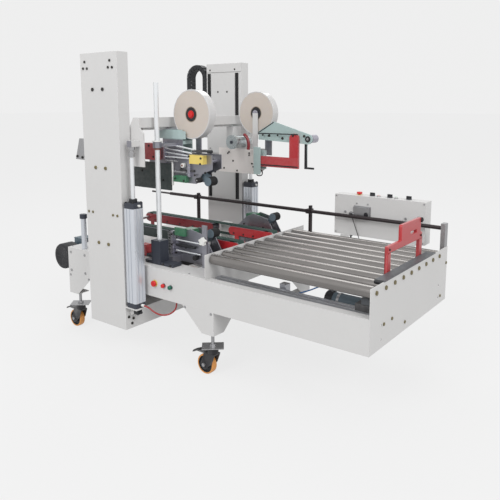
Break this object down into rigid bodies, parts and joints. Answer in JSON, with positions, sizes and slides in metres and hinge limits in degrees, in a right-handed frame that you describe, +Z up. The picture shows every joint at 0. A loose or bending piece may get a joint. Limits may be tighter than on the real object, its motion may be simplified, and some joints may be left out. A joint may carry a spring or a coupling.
{
  "type": "carton sealer machine",
  "caption": "Carton edge sealer on casters: roller table with pusher, belt conveyors, and tape heads below and on a lifting bridge.",
  "frame": {"origin": "on the floor under the middle of the machine's overall box", "axes": "+X along the machine to the roller table's loading end, +Y to the control box side, +Z up"},
  "size_m": [2.071, 1.03, 1.54],
  "materials": {
    "cream_paint": "satin",
    "zinc_steel": "satin",
    "aluminium": "satin",
    "red_paint": "gloss",
    "green_belt": "matt",
    "motor_paint": "satin",
    "black_plastic": "matt",
    "black_paint": "satin",
    "red_hose": "gloss",
    "chrome": "polished",
    "white_plastic": "gloss",
    "red_plastic": "gloss",
    "green_plastic": "gloss",
    "tape": "translucent",
    "grey_arm": "satin",
    "amber_tread": "gloss"
  },
  "bodies": {
    "base": {"frame_beams": "cream_paint", "corner_legs": "zinc_steel", "columns": "cream_paint", "cross_pan": "cream_paint", "deck_plate": "cream_paint", "table_panels": "cream_paint", "pusher_drive": "aluminium", "belt_conveyors": "red_paint", "belts": "green_belt", "drive_motor": "motor_paint", "cylinder_barrels": "aluminium", "drag_chain": "black_plastic", "rear_lower_head": "zinc_steel", "guide_rail": "black_paint", "control_box": "cream_paint", "frame_bolts": "zinc_steel", "air_hose": "red_hose"},
    "bridge": {"bridge_beam": "cream_paint", "carriages": "cream_paint", "piston_rods": "chrome", "rear_upper_head": "cream_paint"},
    "front_upper_head": {"front_upper_head": "zinc_steel"},
    "front_lower_head": {"front_lower_head": "zinc_steel"},
    "upper_front_tape_roll": {"upper_front_tape_roll": "tape"},
    "upper_rear_tape_roll": {"upper_rear_tape_roll": "tape"},
    "lower_front_tape_roll": {"lower_front_tape_roll": "tape"},
    "lower_rear_tape_roll": {"lower_rear_tape_roll": "tape"},
    "upper_front_roller_arm": {"upper_front_roller_arm": "grey_arm"},
    "upper_rear_roller_arm": {"upper_rear_roller_arm": "grey_arm"},
    "lower_front_roller_arm": {"lower_front_roller_arm": "grey_arm"},
    "lower_rear_roller_arm": {"lower_rear_roller_arm": "grey_arm"},
    "star_knob": {"star_knob": "white_plastic"},
    "table_roller_1": {"table_roller_1": "zinc_steel"},
    "table_roller_2": {"table_roller_2": "zinc_steel"},
    "table_roller_3": {"table_roller_3": "zinc_steel"},
    "table_roller_4": {"table_roller_4": "zinc_steel"},
    "table_roller_5": {"table_roller_5": "zinc_steel"},
    "table_roller_6": {"table_roller_6": "zinc_steel"},
    "table_roller_7": {"table_roller_7": "zinc_steel"},
    "table_roller_8": {"table_roller_8": "zinc_steel"},
    "table_roller_9": {"table_roller_9": "zinc_steel"},
    "pusher": {"pusher": "red_paint"},
    "belt_drive_shaft": {"belt_drive_shaft": "zinc_steel"},
    "belt_tail_shaft": {"belt_tail_shaft": "zinc_steel"},
    "emergency_stop": {"emergency_stop": "red_plastic"},
    "stop_button": {"stop_button": "red_plastic"},
    "start_button": {"start_button": "green_plastic"},
    "box_stop_button": {"box_stop_button": "red_plastic"},
    "selector_knob_1": {"selector_knob_1": "black_plastic"},
    "selector_knob_2": {"selector_knob_2": "black_plastic"},
    "selector_knob_3": {"selector_knob_3": "black_plastic"},
    "switch_lever": {"switch_lever": "chrome"},
    "front_right_caster_fork": {"front_right_caster_fork": "black_paint"},
    "front_right_caster_wheel": {"front_right_caster_wheel": "amber_tread"},
    "front_left_caster_fork": {"front_left_caster_fork": "black_paint"},
    "front_left_caster_wheel": {"front_left_caster_wheel": "amber_tread"},
    "rear_right_caster_fork": {"rear_right_caster_fork": "black_paint"},
    "rear_right_caster_wheel": {"rear_right_caster_wheel": "amber_tread"},
    "rear_left_caster_fork": {"rear_left_caster_fork": "black_paint"},
    "rear_left_caster_wheel": {"rear_left_caster_wheel": "amber_tread"}
  },
  "joints": [
    {"name": "bridge_lift", "type": "slide", "parent": "base", "child": "bridge", "axis": [0, 0, 1], "range_m": [-0.2, 0.2], "deforming": ["drag_chain"]},
    {"name": "front_lower_slide", "type": "slide", "parent": "base", "child": "front_lower_head", "axis": [0, 1, 0], "range_m": [-0.05, 0.025]},
    {"name": "front_upper_slide", "type": "slide", "parent": "bridge", "child": "front_upper_head", "axis": [0, 1, 0], "range_m": [-0.05, 0.025]},
    {"name": "upper_front_roll_turn", "type": "hinge", "parent": "front_upper_head", "child": "upper_front_tape_roll", "pos_m": [-0.051, -0.218, 1.24], "axis": [0, 1, 0], "continuous": true},
    {"name": "upper_rear_roll_turn", "type": "hinge", "parent": "bridge", "child": "upper_rear_tape_roll", "pos_m": [-0.051, 0.316, 1.24], "axis": [0, 1, 0], "continuous": true},
    {"name": "lower_front_roll_turn", "type": "hinge", "parent": "front_lower_head", "child": "lower_front_tape_roll", "pos_m": [-0.051, -0.218, 0.402], "axis": [0, 1, 0], "continuous": true},
    {"name": "lower_rear_roll_turn", "type": "hinge", "parent": "base", "child": "lower_rear_tape_roll", "pos_m": [-0.051, 0.316, 0.402], "axis": [0, 1, 0], "continuous": true},
    {"name": "upper_front_arm_swing", "type": "hinge", "parent": "front_upper_head", "child": "upper_front_roller_arm", "pos_m": [-0.04, -0.218, 0.96], "axis": [0, 1, 0], "range_deg": [-25, 0], "stiffness_Nm_per_rad": 9, "springref_deg": 14.32},
    {"name": "upper_rear_arm_swing", "type": "hinge", "parent": "bridge", "child": "upper_rear_roller_arm", "pos_m": [0.004, 0.316, 1.112], "axis": [0, 1, 0], "range_deg": [-15, 0], "stiffness_Nm_per_rad": 12, "springref_deg": 11.46},
    {"name": "lower_front_arm_swing", "type": "hinge", "parent": "front_lower_head", "child": "lower_front_roller_arm", "pos_m": [0.02, -0.218, 0.61], "axis": [0, 1, 0], "range_deg": [0, 25], "stiffness_Nm_per_rad": 9, "springref_deg": -20.05},
    {"name": "lower_rear_arm_swing", "type": "hinge", "parent": "base", "child": "lower_rear_roller_arm", "pos_m": [0.02, 0.316, 0.61], "axis": [0, 1, 0], "range_deg": [0, 25], "stiffness_Nm_per_rad": 9, "springref_deg": -20.05},
    {"name": "table_roller_1_turn", "type": "hinge", "parent": "base", "child": "table_roller_1", "pos_m": [0.61, -0.376, 0.573], "axis": [1, 0, 0], "continuous": true},
    {"name": "table_roller_2_turn", "type": "hinge", "parent": "base", "child": "table_roller_2", "pos_m": [0.61, -0.29, 0.573], "axis": [1, 0, 0], "continuous": true},
    {"name": "table_roller_3_turn", "type": "hinge", "parent": "base", "child": "table_roller_3", "pos_m": [0.61, -0.204, 0.573], "axis": [1, 0, 0], "continuous": true},
    {"name": "table_roller_4_turn", "type": "hinge", "parent": "base", "child": "table_roller_4", "pos_m": [0.61, -0.118, 0.573], "axis": [1, 0, 0], "continuous": true},
    {"name": "table_roller_5_turn", "type": "hinge", "parent": "base", "child": "table_roller_5", "pos_m": [0.61, -0.032, 0.573], "axis": [1, 0, 0], "continuous": true},
    {"name": "table_roller_6_turn", "type": "hinge", "parent": "base", "child": "table_roller_6", "pos_m": [0.61, 0.054, 0.573], "axis": [1, 0, 0], "continuous": true},
    {"name": "table_roller_7_turn", "type": "hinge", "parent": "base", "child": "table_roller_7", "pos_m": [0.61, 0.14, 0.573], "axis": [1, 0, 0], "continuous": true},
    {"name": "table_roller_8_turn", "type": "hinge", "parent": "base", "child": "table_roller_8", "pos_m": [0.61, 0.226, 0.573], "axis": [1, 0, 0], "continuous": true},
    {"name": "table_roller_9_turn", "type": "hinge", "parent": "base", "child": "table_roller_9", "pos_m": [0.61, 0.312, 0.573], "axis": [1, 0, 0], "continuous": true},
    {"name": "pusher_travel", "type": "slide", "parent": "base", "child": "pusher", "axis": [-1, 0, 0], "range_m": [0, 0.65]},
    {"name": "belt_drive_turn", "type": "hinge", "parent": "base", "child": "belt_drive_shaft", "pos_m": [-0.82, 0.04, 0.572], "axis": [0, 1, 0], "continuous": true},
    {"name": "belt_tail_turn", "type": "hinge", "parent": "base", "child": "belt_tail_shaft", "pos_m": [0.14, 0.04, 0.572], "axis": [0, 1, 0], "continuous": true},
    {"name": "emergency_stop_press", "type": "slide", "parent": "base", "child": "emergency_stop", "axis": [0, 1, 0], "range_m": [0, 0.004], "stiffness_N_per_m": 500, "springref_m": -0.002},
    {"name": "stop_button_press", "type": "slide", "parent": "base", "child": "stop_button", "axis": [0, 1, 0], "range_m": [0, 0.004], "stiffness_N_per_m": 500, "springref_m": -0.002},
    {"name": "start_button_press", "type": "slide", "parent": "base", "child": "start_button", "axis": [0, 1, 0], "range_m": [0, 0.004], "stiffness_N_per_m": 500, "springref_m": -0.002},
    {"name": "box_stop_button_press", "type": "slide", "parent": "base", "child": "box_stop_button", "axis": [0, 0, -1], "range_m": [0, 0.004], "stiffness_N_per_m": 500, "springref_m": -0.002},
    {"name": "selector_knob_1_turn", "type": "hinge", "parent": "base", "child": "selector_knob_1", "pos_m": [0.597, 0.4745, 0.802], "axis": [0, 0, 1], "range_deg": [-45, 45]},
    {"name": "selector_knob_2_turn", "type": "hinge", "parent": "base", "child": "selector_knob_2", "pos_m": [0.697, 0.4745, 0.802], "axis": [0, 0, 1], "range_deg": [-45, 45]},
    {"name": "selector_knob_3_turn", "type": "hinge", "parent": "base", "child": "selector_knob_3", "pos_m": [0.802, 0.4745, 0.802], "axis": [0, 0, 1], "range_deg": [-45, 45]},
    {"name": "switch_lever_swing", "type": "hinge", "parent": "base", "child": "switch_lever", "pos_m": [0.503, 0.419, 0.699], "axis": [0, 1, 0], "range_deg": [-25, 25], "stiffness_Nm_per_rad": 0.4},
    {"name": "star_knob_turn", "type": "hinge", "parent": "front_lower_head", "child": "star_knob", "pos_m": [0.067, -0.284, 0.622], "axis": [0, 1, 0], "range_deg": [-180, 180]},
    {"name": "front_right_caster_swivel", "type": "hinge", "parent": "base", "child": "front_right_caster_fork", "pos_m": [0.201, -0.385, 0.13], "axis": [0, 0, 1], "continuous": true},
    {"name": "front_right_caster_roll", "type": "hinge", "parent": "front_right_caster_fork", "child": "front_right_caster_wheel", "pos_m": [0.163, -0.385, 0.05], "axis": [0, 1, 0], "continuous": true},
    {"name": "front_left_caster_swivel", "type": "hinge", "parent": "base", "child": "front_left_caster_fork", "pos_m": [-0.82, -0.385, 0.13], "axis": [0, 0, 1], "continuous": true},
    {"name": "front_left_caster_roll", "type": "hinge", "parent": "front_left_caster_fork", "child": "front_left_caster_wheel", "pos_m": [-0.858, -0.385, 0.05], "axis": [0, 1, 0], "continuous": true},
    {"name": "rear_right_caster_swivel", "type": "hinge", "parent": "base", "child": "rear_right_caster_fork", "pos_m": [0.201, 0.385, 0.13], "axis": [0, 0, 1], "continuous": true},
    {"name": "rear_right_caster_roll", "type": "hinge", "parent": "rear_right_caster_fork", "child": "rear_right_caster_wheel", "pos_m": [0.163, 0.385, 0.05], "axis": [0, 1, 0], "continuous": true},
    {"name": "rear_left_caster_swivel", "type": "hinge", "parent": "base", "child": "rear_left_caster_fork", "pos_m": [-0.82, 0.385, 0.13], "axis": [0, 0, 1], "continuous": true},
    {"name": "rear_left_caster_roll", "type": "hinge", "parent": "rear_left_caster_fork", "child": "rear_left_caster_wheel", "pos_m": [-0.858, 0.385, 0.05], "axis": [0, 1, 0], "continuous": true}
  ],
  "couplings": [
    {"joint": "front_upper_slide", "follows": "front_lower_slide", "ratio": 1},
    {"joint": "belt_tail_turn", "follows": "belt_drive_turn", "ratio": 1}
  ]
}
